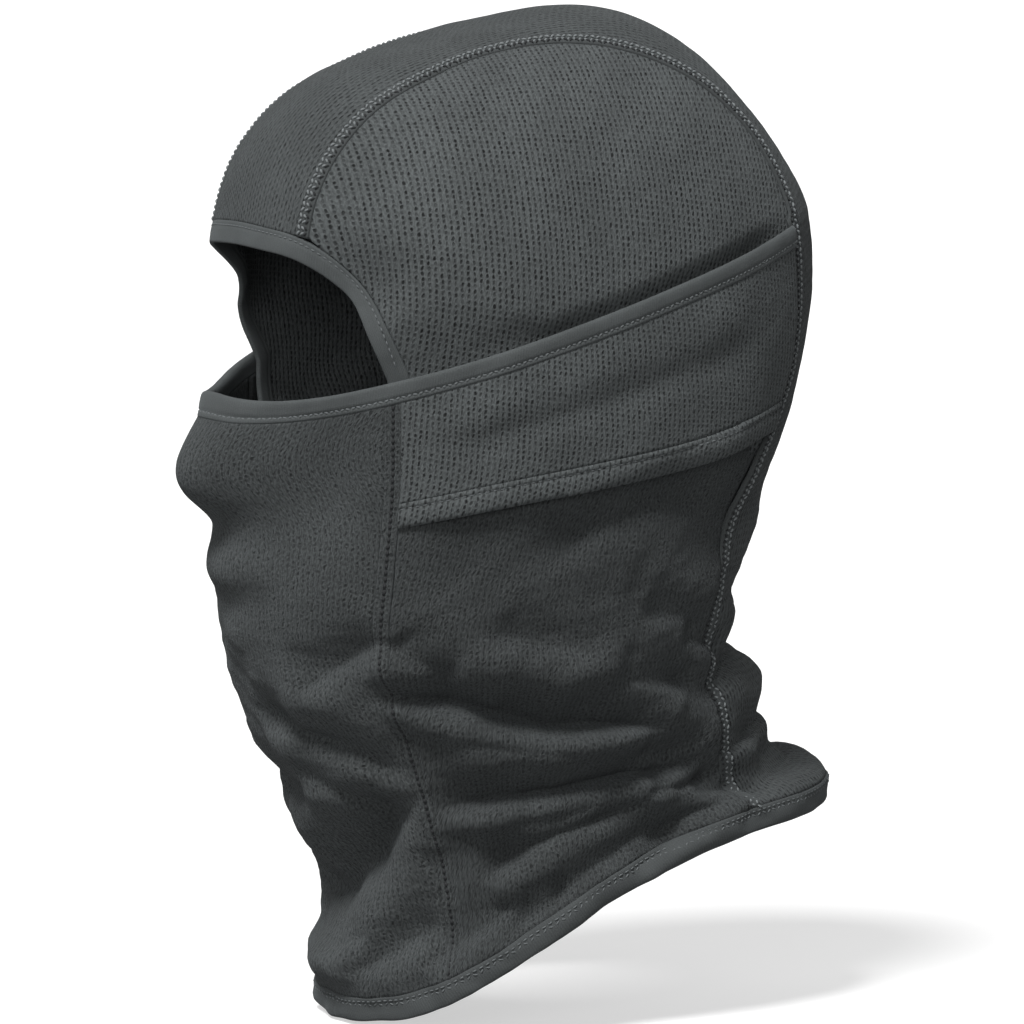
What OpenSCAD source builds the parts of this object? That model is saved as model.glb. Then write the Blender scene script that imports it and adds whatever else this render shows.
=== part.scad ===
// Balaclava with a mask that hinges down off the nose.
// Face towards -Y, wearer's left towards +X, up +Z; the origin is the middle of the head cavity.
// Every panel is a thin shell on one smooth body surface, given by an angle round the head and a height.

/* [Head] */
// Half width of the hood at ear height
head_half_w = 77; // [70:0.5:88]
// Front half length of the hood at ear height
head_front = 101; // [92:0.5:112]
// Back half length of the hood at ear height
head_back = 103; // [92:0.5:114]
// Height of the crown over the plane through the ears
crown_h = 94.5; // [84:0.5:106]
// Arc over the crown from that plane to the top
crown_arc = 145; // [130:1:160]
// How far the crown leans forward
crown_lean = 5.5; // [0:0.5:9]
// Slope of the plane through the ears, rising to the back
ear_tilt = 17.5; // [12:0.5:22]
// Roundness of the sections
section_power = 2.15; // [2:0.05:2.4]

/* [Face and neck half widths] */
// Half width at the lower cheek
cheek_half_w = 77; // [70:0.5:88]
// Half width at the jaw
jaw_half_w = 75; // [68:0.5:86]
// Half width at the chin
chin_half_w = 70; // [63:0.5:80]
// Half width under the chin
throat_half_w = 64; // [58:0.5:74]
// Half width of the neck
neck_half_w = 60; // [55:0.5:70]
// Half width of the collar
collar_half_w = 61; // [56:0.5:72]
// Half width at the neck hem
skirt_half_w = 64; // [58:0.5:76]

/* [Face and neck depths] */
// Front depth at the mouth
mouth_front = 103; // [95:0.5:112]
// Front depth at the chin
chin_front = 102; // [92:0.5:112]
// Front depth under the chin
throat_front = 87; // [80:0.5:96]
// Front depth of the neck
neck_front = 72; // [66:0.5:80]
// Front depth at the neck hem
skirt_front = 66; // [60:0.5:76]
// Back depth at the nape
nape_back = 92; // [85:0.5:100]
// Back depth at the top of the neck
neck_top_back = 77; // [70:0.5:85]
// Back depth at the middle of the neck
neck_back = 73; // [67:0.5:82]
// Back depth at the collar
collar_back = 98; // [90:0.5:106]
// Back depth at the neck hem
skirt_back = 111; // [100:0.5:120]

/* [Nose and chin] */
// How far the nose stands out
nose_out = 23; // [15:0.5:28]
// Half width of the nose bulge, in degrees round the face
nose_spread = 17; // [13:0.5:22]
// How far the chin stands out
chin_out = 5; // [0:0.5:8]

/* [Panels] */
// Thickness of the knit
knit_t = 1.2; // [0.8:0.1:1.6]
// Extra thickness of hems and bindings, each side
hem_extra = 0.45; // [0.2:0.05:0.8]
// Half angle of the mask front, where the mask seams run
mask_half_angle = 45.5; // [40:0.5:50]
// Half angle of the centre panel at the brow
strip_brow = 26.5; // [22:0.5:30]
// Half angle of the centre panel at the ear plane
strip_nape = 41.5; // [36:0.5:46]
// Half angle of the centre panel on the neck
strip_neck = 52; // [46:0.5:56]
// Angle of the brow edge over the ear plane
brow_angle = 36.5; // [32:0.5:42]
// Width of the seams
seam_w = 5; // [4:0.5:6]
// Width of the binding
binding_w = 7; // [5:0.5:9]
// Width of the mask's top hem
mask_hem_w = 6.5; // [5:0.5:9]
// Width of the yoke's hem
yoke_hem_w = 8; // [6:0.5:11]
// Width of the neck hem
neck_hem_w = 8; // [6:0.5:12]

/* [Mask swing] */
// Swing centre, behind the origin
pivot_y = 82; // [74:1:90]
// Clearance between the mask and what lies under it
mask_gap = 1.2; // [0.8:0.1:2]
// How far the cheeks and throat lie under the mask, so that it can swing down over them
swing_inset = 9.5; // [8.5:0.5:13]

/* [Hidden] */
station = 30;
half_w = [head_half_w, cheek_half_w, jaw_half_w, chin_half_w, throat_half_w, neck_half_w,
  collar_half_w, skirt_half_w];
front = [head_front, head_front, mouth_front, chin_front, throat_front, neck_front, skirt_front,
  skirt_front];
back = [head_back, head_back - 1, nape_back, neck_top_back, neck_back, neck_back + 7, collar_back,
  skirt_back];
tilt = [ear_tilt, ear_tilt - 0.5, ear_tilt - 2, ear_tilt - 3, ear_tilt - 2, ear_tilt - 0.5,
  ear_tilt + 1.5, ear_tilt + 2];
crown_power = 2.08;
nose_at = 14;
nose_rise = 21;
chin_at = 80;
chin_rise = 12;
thread_h = 0.4;
knit_colour = [0.31, 0.33, 0.34];
trim_colour = [0.25, 0.27, 0.28];
thread_colour = [0.38, 0.40, 0.41];

// Smooth curve through evenly spaced stations.
function at(list, x) =
  let (n = len(list) - 1, p = min(max(x, 0), n), i = min(floor(p), n - 1), f = p - i,
    a = list[max(i - 1, 0)], b = list[i], c = list[i + 1], d = list[min(i + 2, n)])
  b + f * ((c - a) / 2 + f * (a - 2.5 * b + 2 * c - d / 2 + f * (1.5 * (b - c) + (d - a) / 2)));
function ease(a, b, x) = let (f = min(max((x - a) / (b - a), 0), 1)) f * f * (3 - 2 * f);
function bell(x, w) = exp(-(x / w) * (x / w));
function roundness(a, b, power) = pow(pow(abs(a), power) + pow(abs(b), power), -1 / power);

// The body surface: u is the angle round the head from the face, t the height (above the ear plane it is
// negative and runs over the crown, below it is in mm), o the offset outwards.
function skin(u, t, o) =
  let (lam = t < 0 ? -t * 90 / crown_arc : 0, d = max(t, 0), s = d / station,
    w = at(half_w, s) + o,
    f = at(front, s) + o + nose_out * bell(u, nose_spread) * bell(t - nose_at, nose_rise)
      + chin_out * bell(u, nose_spread) * bell(t - chin_at, chin_rise),
    k = at(back, s) + o, ang = at(tilt, s),
    su = sin(u), cu = cos(u), q = roundness(su, cu, section_power),
    q2 = roundness(sin(lam), cos(lam), crown_power), r = q * q2 * cos(lam),
    along = (cu > 0 ? -f : -k) * cu * r, up = sin(lam) * q2 * (crown_h + o),
    lean = -crown_lean * sin(2 * lam))
  [w * su * r, lean + along * cos(ang) - up * sin(ear_tilt),
    -d + along * sin(ang) + up * cos(ear_tilt)];

// The crown in strip angles: th across the strip, psi from the face (0) over the top to the nape (180).
function strip_ut(th, psi) =
  let (y = -cos(th) * cos(psi), z = cos(th) * sin(psi))
  [atan2(sin(th), -y), -asin(z) * crown_arc / 90];
// The same place on a flat map: distance from the crown, and direction.
function flat(ut) = let (r = 90 + ut[1] * 90 / crown_arc) [r * sin(ut[0]), -r * cos(ut[0])];
function unflat(p) = [atan2(p[0], -p[1]), (norm(p) - 90) * crown_arc / 90];
function mix(a, b, f) = a + (b - a) * f;

// Where things run on the body.
function strip_half(psi) =
  let (f = (psi - brow_angle) / (180 - brow_angle))
  strip_brow - 2.5 * sin(180 * min(f * 1.5, 1)) + (strip_nape - strip_brow) * f * f * f;
function strip_edge_u(t) = 180 - mix(strip_nape, strip_neck, ease(35, 90, t));
function hem_t(u) = let (a = abs(u)) 207 - 19 * ease(25, 106, a) + 12 * ease(110, 160, a);
function mask_top_t(u) = -2 - 5 * bell(u, 15);
function yoke_bottom_t(u) = 45.7 + 12 * ease(46, 125, abs(u));
corner_u = 48.7;
corner_t = -5;
hidden_t = 24;
mask_bottom_t = 114;
throat_top_t = 106;
rear_psi = 140;
nape_psi = asin(sin(-corner_t * 90 / crown_arc) / cos(strip_nape));
seam_deg = seam_w / 1.47;
seam_half = 1.55;
shrink = 1.56;
long_cols = 16;
short_cols = 14;
rear_rows = 6;
neck_last = 12;
mask_rows = 16;
throat_first = 5;
side_u = mask_half_angle + seam_deg / 2;
rear_gap = 2.2;
rear_inset = 1.2;
rear_lift = 1.5;

// How deep the layer under the mask lies, and how far the yokes stand out at the back.
function inset(u, t) =
  let (a = abs(u), under = ease(-5, -2.6, t))
  (mask_gap + knit_t) * under * (1 - ease(170, 196, t)) * (1 - ease(140, 160, a))
  + swing_inset * ease(86, 47, a) * ease(-1, 56, t) * (1 - ease(166, 198, t))
  + rear_inset * ease(100, 118, a) * (1 - ease(140, 160, a)) * under * (1 - ease(30, 60, t));
function lift(u) = rear_lift * ease(100, 125, abs(u));

// One place on a panel: [u, t, inner offset, outer offset].
function hood(ut, extra) =
  let (d = -inset(ut[0] > 180 ? 360 - ut[0] : ut[0], ut[1]))
  [ut[0], ut[1], d - knit_t / 2 - extra, d + knit_t / 2 + extra];
function mask(u, t, extra) =
  [u, t, lift(u) - knit_t / 2 - extra, lift(u) + knit_t / 2 + extra];

// A shell through rows of places; columns run clockwise seen from outside when rows run down.
module shell(rows, ring = false) {
  m = len(rows);
  n = len(rows[0]);
  cols = ring ? n : n - 1;
  outer = [for (r = rows) for (p = r) skin(p[0], p[1], p[3])];
  inner = [for (r = rows) for (p = r) skin(p[0], p[1], p[2])];
  k = m * n;
  function id(i, j) = j * n + i % n;
  sheet = [for (j = [0 : m - 2]) for (i = [0 : cols - 1])
    each [[id(i, j), id(i + 1, j), id(i + 1, j + 1)], [id(i, j), id(i + 1, j + 1), id(i, j + 1)]]];
  lining = [for (f = sheet) [f[0] + k, f[2] + k, f[1] + k]];
  ends = [for (i = [0 : cols - 1])
    each concat(wall(id(i + 1, 0), id(i, 0), k), wall(id(i, m - 1), id(i + 1, m - 1), k))];
  sides = ring ? [] : [for (j = [0 : m - 2])
    each concat(wall(id(0, j), id(0, j + 1), k), wall(id(n - 1, j + 1), id(n - 1, j), k))];
  polyhedron(concat(outer, inner), concat(sheet, lining, ends, sides));
}
// The edge face between two outer points and the inner ones k further on; its diagonal depends
// only on which point comes first in the list, so that neighbours share it.
function wall(a, b, k) = a < b ? [[a, b, b + k], [a, b + k, a + k]] : [[a, b, a + k], [b, b + k, a + k]];

// Steps along each panel.
function steps(a, b, n) = [for (i = [0 : n]) mix(a, b, i / n)];
psi_top = steps(brow_angle, rear_psi, long_cols);
psi_rear = steps(rear_psi, 180 - nape_psi, rear_rows);
tuck_t = [corner_t, -2.6, 4, 13, hidden_t];
neck_rows = concat(steps(hidden_t, throat_top_t, throat_first),
  [for (i = [1 : neck_last - throat_first]) i]);
front_cols = steps(-side_u + seam_deg, side_u - seam_deg, 12);
back_cols = steps(0, 1, 8);
hem_rows = [0, 0.15, 0.35, 0.55, 1];

function neck_t(j, u) =
  j <= throat_first ? neck_rows[j]
    : mix(throat_top_t, hem_t(u) - neck_hem_w, neck_rows[j] / (neck_last - throat_first));
function seam_edge(psi, side) = strip_ut(strip_half(psi) + side * seam_half, psi);
function back_u(t, f) =
  let (h = 180 - strip_edge_u(t) - seam_deg / 2) mix(180 - h, 180 + h, f);

// The hood's side panel: edges of its upper part on the flat map, then rows down under the yoke.
function opening_flat(x) = [x, -49.3 - 8.6 * pow(max((x - 42) / 24, 0), 2.5)];
edge_start = flat(seam_edge(brow_angle, 1));
edge_end = flat([corner_u, corner_t]);
function opening_edge(f) =
  let (p = opening_flat(mix(edge_start[0], edge_end[0], f)))
  p + mix(edge_start - opening_flat(edge_start[0]), edge_end - opening_flat(edge_end[0]), f);
function top_edge(i) = flat(seam_edge(psi_top[i], 1));
function rear_edge(j) = flat(seam_edge(psi_rear[j], 1));
side_start = atan2(rear_edge(rear_rows)[0], -rear_edge(rear_rows)[1]);
function low_edge(f) = flat([mix(corner_u, side_start, f), corner_t]);
function coons(i, j) =
  let (a = i / long_cols, b = j / rear_rows)
  mix(top_edge(i), low_edge(a), b) + mix(opening_edge(b), rear_edge(j), a)
  - mix(mix(edge_start, top_edge(long_cols), a), mix(edge_end, rear_edge(rear_rows), a), b);
function side_row(t, n) =
  let (rear = t <= corner_t ? side_start : strip_edge_u(t) - seam_deg / 2,
    fore = mix(corner_u, side_u, ease(corner_t, hidden_t, t)))
  steps(fore, rear, n);

module hood_side() color(knit_colour)
  shell(concat(
    [for (j = [0 : rear_rows]) [for (i = [0 : long_cols]) hood(unflat(coons(i, j)), 0)]],
    [for (k = [1 : len(tuck_t) - 1])
      [for (u = side_row(tuck_t[k], long_cols)) hood([u, tuck_t[k]], 0)]]));

module neck_side() color(knit_colour)
  shell([for (j = [0 : neck_last]) [for (i = [0 : long_cols])
    let (t0 = neck_t(j, 90), rear = strip_edge_u(t0) - seam_deg / 2,
      u = mix(side_u, rear, i / long_cols))
    hood([u, neck_t(j, u)], 0)]]);

module centre_panel() color(knit_colour)
  shell(concat(
    [for (psi = concat(psi_top, [for (i = [1 : rear_rows]) psi_rear[i]]))
      [for (f = back_cols) hood(strip_ut(mix(1, -1, f) * (strip_half(psi) - seam_half), psi), 0)]],
    [for (k = [1 : len(tuck_t) - 1]) [for (f = back_cols) hood([back_u(tuck_t[k], f), tuck_t[k]], 0)]],
    [for (j = [1 : neck_last]) [for (f = back_cols)
      let (t0 = neck_t(j, 90), u = back_u(t0, f)) hood([u, neck_t(j, u > 180 ? 360 - u : u)], 0)]]));

module crown_seam() color(trim_colour)
  shell(concat(
    [for (psi = concat(psi_top, [for (i = [1 : rear_rows]) psi_rear[i]]))
      [for (f = [0 : 3]) hood(strip_ut(strip_half(psi) + mix(seam_half, -seam_half, f / 3), psi), raised(f))]],
    [for (k = [1 : len(tuck_t) - 1]) [for (f = [0 : 3])
      hood([strip_edge_u(tuck_t[k]) + seam_deg * (f / 3 - 0.5), tuck_t[k]], raised(f))]],
    [for (j = [1 : neck_last]) [for (f = [0 : 3])
      let (u = strip_edge_u(neck_t(j, 90)) + seam_deg * (f / 3 - 0.5))
      hood([u, neck_t(j, u)], raised(f))]]));
function raised(f) = f == 1 || f == 2 ? thread_h : 0;

module throat_panel() color(knit_colour)
  shell([for (j = [throat_first : neck_last]) [for (u = front_cols) hood([u, neck_t(j, u)], 0)]]);

module throat_seam() color(trim_colour)
  shell([for (j = [throat_first : neck_last]) [for (f = [0 : 3])
    let (u = side_u - seam_deg * (1 - f / 3)) hood([u, neck_t(j, u)], raised(f))]]);

// The binding: its outer edge from under one cheek over the brow, and its inner edge.
binding_deg = 4.4;
function binding_out() = concat(
  [for (j = [throat_first : -1 : 0]) [side_u, neck_rows[j]]],
  [for (k = [len(tuck_t) - 2 : -1 : 1]) [side_row(tuck_t[k], 1)[0], tuck_t[k]]],
  [for (j = [rear_rows : -1 : 0]) unflat(opening_edge(j / rear_rows))],
  [for (i = [0 : 6]) strip_ut(mix(1, -1, i / 6) * (strip_half(brow_angle) - seam_half), brow_angle)],
  [for (j = [0 : rear_rows]) mirrored(unflat(opening_edge(j / rear_rows)))],
  [for (k = [1 : len(tuck_t) - 2]) [-side_row(tuck_t[k], 1)[0], tuck_t[k]]],
  [for (j = [0 : throat_first]) [-side_u, neck_rows[j]]]);
function mirrored(ut) = [-ut[0], ut[1]];
function inward(ut) =
  let (p = flat(ut), s = sign(p[0]), w = binding_w / shrink)
  ut[1] > corner_t + 0.5 ? [ut[0] - s * binding_deg, ut[1]]
    : unflat(p + [-s * w * ease(40, 62, abs(p[0])), -w]);
function bound(f, extra, path = binding_out()) = [for (ut = path)
  let (p = inward(ut)) hood([mix(ut[0], p[0], f), mix(ut[1], p[1], f)],
    extra * (1 - ease(corner_t - 2, corner_t + 2, ut[1])))];

module face_binding() color(trim_colour)
  shell([bound(0, 0), bound(0.2, hem_extra), bound(0.35, hem_extra), bound(0.9, hem_extra),
    bound(1, 0)]);
// The stitches stop where the binding goes under the mask.
binding_seen = [for (ut = binding_out()) if (ut[1] < corner_t - 1) ut];
module binding_stitching() color(thread_colour)
  thread([bound(0.2, hem_extra, binding_seen), bound(0.35, hem_extra, binding_seen)]);

// A raised line of thread that stands on the outer face between two rows.
module thread(rows, ring = false)
  shell([for (r = rows) [for (p = r) [p[0], p[1], p[3], p[3] + thread_h]]], ring);

neck_ring = let (tn = neck_t(neck_last, 90), e = strip_edge_u(tn) - seam_deg / 2) concat(
  front_cols,
  [for (f = [1 : 2]) side_u - seam_deg * (1 - f / 3)],
  steps(side_u, e, long_cols),
  [for (f = [1 : 2]) e + seam_deg * f / 3],
  [for (f = back_cols) back_u(tn, f)],
  [for (f = [1 : 2]) 360 - e - seam_deg * (1 - f / 3)],
  steps(360 - e, 360 - side_u, long_cols),
  [for (f = [1 : 2]) 360 - side_u + seam_deg * f / 3]);
function neck_hem_row(f) = [for (u = neck_ring)
  let (a = u > 180 ? 360 - u : u)
  hood([u, hem_t(a) - neck_hem_w * (1 - f)], f == 0 ? 0 : hem_extra)];
module neck_hem() color(trim_colour) shell([for (f = hem_rows) neck_hem_row(f)], true);
module neck_hem_stitching() color(thread_colour) thread([neck_hem_row(0.15), neck_hem_row(0.35)], true);

// The mask.
function yoke_rear_u(t) = strip_edge_u(t) - seam_deg / 2 - rear_gap;
function mask_cols(t) = concat(
  steps(-yoke_rear_u(t), -side_u, short_cols), [for (f = [1 : 2]) -side_u + seam_deg * f / 3],
  front_cols, [for (f = [1 : 2]) side_u - seam_deg * (1 - f / 3)],
  steps(side_u, yoke_rear_u(t), short_cols));
function mask_hem_row(f) = [for (u = mask_cols(0))
  mask(u, mask_top_t(u) + mask_hem_w * f, f == 1 ? 0 : hem_extra)];
module mask_top_hem() color(trim_colour) shell([for (f = [0, 0.5, 0.7, 0.9, 1]) mask_hem_row(f)]);
module mask_hem_stitching() color(thread_colour) thread([mask_hem_row(0.7), mask_hem_row(0.9)]);

module mask_front() color(knit_colour)
  shell([for (j = [0 : mask_rows]) [for (u = front_cols)
    mask(u, mix(mask_top_t(u) + mask_hem_w, mask_bottom_t, j / mask_rows), 0)]]);
module mask_seam() color(trim_colour)
  shell([for (j = [0 : mask_rows]) [for (f = [0 : 3]) let (u = side_u - seam_deg * (1 - f / 3))
    mask(u, mix(mask_top_t(u) + mask_hem_w, mask_bottom_t, j / mask_rows), raised(f))]]);
function yoke_row(g, h, extra) = [for (i = [0 : short_cols])
  let (u0 = mix(side_u, yoke_rear_u(0), i / short_cols), top = mask_top_t(u0) + mask_hem_w,
    low = yoke_bottom_t(u0), t = mix(mix(top, low - yoke_hem_w, g), low, h),
    u = mix(side_u, yoke_rear_u(t), i / short_cols))
  mask(u, t, extra)];
module yoke() color(knit_colour) shell([for (j = [0 : 6]) yoke_row(j / 6, 0, 0)]);
module yoke_hem() color(trim_colour)
  shell([for (f = hem_rows) yoke_row(1, f, f == 0 ? 0 : hem_extra)]);
module yoke_stitching() color(thread_colour)
  thread([yoke_row(1, 0.15, hem_extra), yoke_row(1, 0.35, hem_extra)]);

module right() mirror([1, 0, 0]) children();

centre_panel();
hood_side();  // hood_side_left
right() hood_side();  // hood_side_right
crown_seam();  // crown_seam_left
right() crown_seam();  // crown_seam_right
face_binding();
binding_stitching();
neck_side();  // neck_side_left
right() neck_side();  // neck_side_right
throat_panel();
throat_seam();  // throat_seam_left
right() throat_seam();  // throat_seam_right
neck_hem();
neck_hem_stitching();
mask_front();
mask_seam();  // mask_seam_left
right() mask_seam();  // mask_seam_right
yoke();  // yoke_left
right() yoke();  // yoke_right
mask_top_hem();
mask_hem_stitching();
yoke_hem();  // yoke_hem_left
right() yoke_hem();  // yoke_hem_right
yoke_stitching();  // yoke_stitching_left
right() yoke_stitching();  // yoke_stitching_right
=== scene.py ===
"""Balaclava of charcoal mesh knit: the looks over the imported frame."""
import math

import bmesh
import bpy
import numpy as np
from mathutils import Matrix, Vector


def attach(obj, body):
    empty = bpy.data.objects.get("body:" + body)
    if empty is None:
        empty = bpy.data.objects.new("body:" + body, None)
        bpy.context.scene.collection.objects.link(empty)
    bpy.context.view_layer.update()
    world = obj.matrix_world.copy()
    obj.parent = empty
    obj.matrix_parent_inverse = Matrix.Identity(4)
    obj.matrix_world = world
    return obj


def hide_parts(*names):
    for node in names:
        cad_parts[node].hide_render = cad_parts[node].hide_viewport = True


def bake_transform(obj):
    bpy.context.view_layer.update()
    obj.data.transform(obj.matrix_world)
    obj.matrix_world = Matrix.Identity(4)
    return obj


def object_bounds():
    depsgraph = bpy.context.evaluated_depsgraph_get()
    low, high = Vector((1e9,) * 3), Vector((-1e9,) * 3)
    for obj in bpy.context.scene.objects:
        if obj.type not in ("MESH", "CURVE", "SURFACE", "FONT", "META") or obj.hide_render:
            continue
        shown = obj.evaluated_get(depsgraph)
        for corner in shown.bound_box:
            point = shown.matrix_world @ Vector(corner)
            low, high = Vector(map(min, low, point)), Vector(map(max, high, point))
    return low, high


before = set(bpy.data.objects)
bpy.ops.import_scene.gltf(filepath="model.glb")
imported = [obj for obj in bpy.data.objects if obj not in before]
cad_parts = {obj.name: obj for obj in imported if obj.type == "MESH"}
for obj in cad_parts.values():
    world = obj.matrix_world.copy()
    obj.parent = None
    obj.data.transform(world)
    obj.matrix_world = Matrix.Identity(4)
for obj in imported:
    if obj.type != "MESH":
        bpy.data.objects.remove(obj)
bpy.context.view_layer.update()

RAD = np.pi / 180
MM = 0.001

# The body surface, in mm: u is the angle round the head from the face, t the height (below zero it runs
# over the crown, above zero it is mm down from the ear plane), o the offset outwards. The lists give its half
# width, its reach forward and back, and its sections' forward tilt in degrees, at every STATION down.
STATION = 30.0
HALF_W = np.array([77, 77, 75, 70, 64, 60, 61, 64.0])
FRONT = np.array([101, 101, 103, 102, 87, 72, 66, 66.0])
BACK = np.array([103, 102, 92, 77, 73, 80, 98, 111.0])
TILT = np.array([17.5, 17, 15.5, 14.5, 15.5, 17, 19, 19.5])
CROWN_H = 94.5
CROWN_ARC = 145.0    # t from the ear plane to the top of the crown
CROWN_LEAN = 5.5
NOSE = dict(out=23, t=14, width=17, height=21)
CHIN = dict(out=5, t=80, width=17, height=12)

# Where the pieces run: u and psi (the angle along the strip over the crown) in degrees, t and widths in mm.
SIDE_U = 47.2            # the vertical seam between the front and the neck's side
SEAM_DEG = 3.4           # a seam's width round the head
SEAM_HALF = 1.55         # half a crown seam's width across the strip, in degrees
BROW = 36.5              # psi of the face opening's upper edge
REAR_PSI = 140.0         # psi of the hood side's upper rear corner
CORNER = (48.7, -5.0)    # (u, t) where the face opening goes under the mask
NAPE_HALF = 41.5         # half the strip's width at the nape, in degrees
TUCK_T = 62.0            # lower edge of the hood side, under the mask
NECK_TOP = 30.0          # upper edge of the neck's side, under the yoke
HEM_W = 8.0
YOKE_HEM_W = 8.0
MASK_HEM_W = 6.5
BINDING_W = 7.0
BINDING_DEG = 4.6        # the binding's width round the head, under the mask
REAR_GAP = 0.5           # degrees between the yoke's rear end and the crown seam
KNIT = 1.1               # thickness of one layer
CORNER_ROUND = 16.0      # how far the binding's corners are smoothed
EAR_ROUND = 16.0         # how far the fold of the body surface at the ear plane is rounded
MASK_TUCK, SWING_TUCK = 3.4, 9.5   # how deep the hood lies under the mask, and under its swing


def along(stations, x):
    """The smooth curve through the stations, at place x along them."""
    n = len(stations) - 1
    p = np.clip(x, 0, n)
    i = np.minimum(np.floor(p).astype(int), n - 1)
    f = p - i
    a, b = stations[np.maximum(i - 1, 0)], stations[i]
    c, d = stations[i + 1], stations[np.minimum(i + 2, n)]
    return b + f * ((c - a) / 2 + f * (a - 2.5 * b + 2 * c - d / 2 + f * (1.5 * (b - c) + (d - a) / 2)))


def ease(a, b, x):
    f = np.clip((np.asarray(x, float) - a) / (b - a), 0, 1)
    return f * f * (3 - 2 * f)


def bell(x, w):
    return np.exp(-(x / w) ** 2)


def mix(a, b, f):
    return a + (b - a) * f


def roundness(a, b, p):
    """Radius of a rounded square of power p in direction (a, b)."""
    return (np.abs(a) ** p + np.abs(b) ** p) ** (-1 / p)


def from_face(u):
    """Degrees from the face, either way round."""
    return np.abs(np.where(u > 180, u - 360, u))


def feature(u, t, size):
    return size["out"] * bell(u, size["width"]) * bell(t - size["t"], size["height"])


def skin(u, t, o=0.0):
    """Points of the body surface, o outside it."""
    u, t, o = np.broadcast_arrays(np.asarray(u, float), np.asarray(t, float), np.asarray(o, float))
    lam = np.where(t < 0, -t * 90 / CROWN_ARC, 0) * RAD
    d = np.maximum(t, 0)
    s = d / STATION
    w = along(HALF_W, s) + o
    f = along(FRONT, s) + o + feature(u, t, NOSE) + feature(u, t, CHIN)
    k = along(BACK, s) + o
    ang = along(TILT, s) * RAD
    su, cu = np.sin(u * RAD), np.cos(u * RAD)
    q2 = roundness(np.sin(lam), np.cos(lam), 2.08)
    r = roundness(su, cu, 2.15) * q2 * np.cos(lam)
    fore = np.where(cu > 0, -f, -k) * cu * r
    up = np.sin(lam) * q2 * (CROWN_H + o)
    lean = -CROWN_LEAN * np.sin(2 * lam)
    tilt = TILT[0] * RAD
    return np.stack([w * su * r, lean + fore * np.cos(ang) - up * np.sin(tilt),
                     -d + fore * np.sin(ang) + up * np.cos(tilt)], -1)


def strip_ut(th, psi):
    """(u, t) of a place on the strip over the crown: th degrees to the side, psi back from the face."""
    th, psi = np.broadcast_arrays(th * RAD, psi * RAD)
    y = -np.cos(th) * np.cos(psi)
    z = np.cos(th) * np.sin(psi)
    return np.stack([np.arctan2(np.sin(th), -y) / RAD, -np.arcsin(z) / RAD * CROWN_ARC / 90], -1)


def flat(ut):
    """The flat map of (u, t), seen from above, with the crown at its middle."""
    r = 90 + ut[..., 1] * 90 / CROWN_ARC
    return np.stack([r * np.sin(ut[..., 0] * RAD), -r * np.cos(ut[..., 0] * RAD)], -1)


def unflat(p):
    return np.stack([np.arctan2(p[..., 0], -p[..., 1]) / RAD,
                     (np.hypot(p[..., 0], p[..., 1]) - 90) * CROWN_ARC / 90], -1)


def strip_half(psi):
    """Half the centre strip's width, in degrees."""
    f = (psi - BROW) / (180 - BROW)
    return 26.5 - 2.5 * np.sin(np.pi * np.minimum(f * 1.5, 1)) + 15 * f ** 3


def strip_edge_u(t):
    """Where the strip's edge runs down the back."""
    return 180 - mix(NAPE_HALF, 52, ease(35, 90, t))


def seam_fore(t):
    return strip_edge_u(t) - SEAM_DEG / 2


def seam_back(t):
    return strip_edge_u(t) + SEAM_DEG / 2


def hem_t(u):
    """Height of the lower edge: low at the front, higher at the sides, lower again behind."""
    a = np.abs(u)
    return 207 - 19 * ease(25, 106, a) + 12 * ease(110, 160, a)


def mask_top_t(u):
    return -2 - 5 * bell(u, 15)


def yoke_bottom_t(u):
    return 45.7 + 12 * ease(46, 125, np.abs(u))


# psi below the ear plane at which the strip over the crown meets the rows down the back.
NAPE_PSI = np.arcsin(np.sin(-CORNER[1] * 90 / CROWN_ARC * RAD) / np.cos(NAPE_HALF * RAD)) / RAD

# Creases: places (u, t) along each valley, its depth and half width, and how far the cloth above hangs
# over it, in mm. The second list holds those that cross the front or the back.
SIDE_FOLDS = [
    ([(40, 99), (47, 103), (57, 110), (69, 119), (78, 126), (89, 130), (99, 134), (112, 142)], 9.5, 2.7, 6.5),
    ([(56, 120), (70, 129), (88, 139)], 3.4, 3.0, 2.5),
    ([(44, 142), (62, 144), (73, 146), (85, 148), (99, 151), (110, 155), (126, 158)], 8.0, 2.7, 6.0),
    ([(100, 158), (112, 163), (128, 166)], 4.6, 2.8, 3.5),
    ([(54, 169), (64, 165), (78, 161), (92, 161), (104, 162)], 4.4, 3.0, 3.5),
    ([(100, 178), (112, 174), (128, 176)], 3.8, 3.0, 2.0),
    ([(46, 82), (53, 93), (60, 103)], 3.2, 2.8, 1.0),
    ([(62, 86), (75, 96), (92, 108)], 3.0, 4.6, 1.0),
    ([(74, 76), (86, 63), (101, 61), (120, 74)], 3.0, 5.0, 0.0),
    ([(36, 190), (52, 185), (66, 178)], 3.4, 3.6, 1.5),
    ([(90, 117), (104, 121), (120, 130)], 3.0, 3.6, 2.0),
    ([(74, 182), (90, 176), (106, 171)], 3.0, 3.6, 1.0),
    ([(64, 152), (78, 155), (92, 156)], 2.4, 2.2, 1.5),
    ([(98, 96), (110, 102), (124, 112)], 2.4, 4.0, 0.5),
    ([(100, 144), (112, 149), (124, 151)], 2.6, 2.2, 1.0),
    ([(114, 166), (124, 172), (136, 184)], 2.6, 2.0, 1.0),
    ([(96, 184), (108, 180), (118, 182)], 2.0, 2.0, 0.5),
    ([(58, 190), (70, 184), (84, 181)], 2.0, 2.2, 0.5),
    ([(112, 112), (124, 117), (134, 127)], 2.6, 2.6, 1.0),
]
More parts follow.
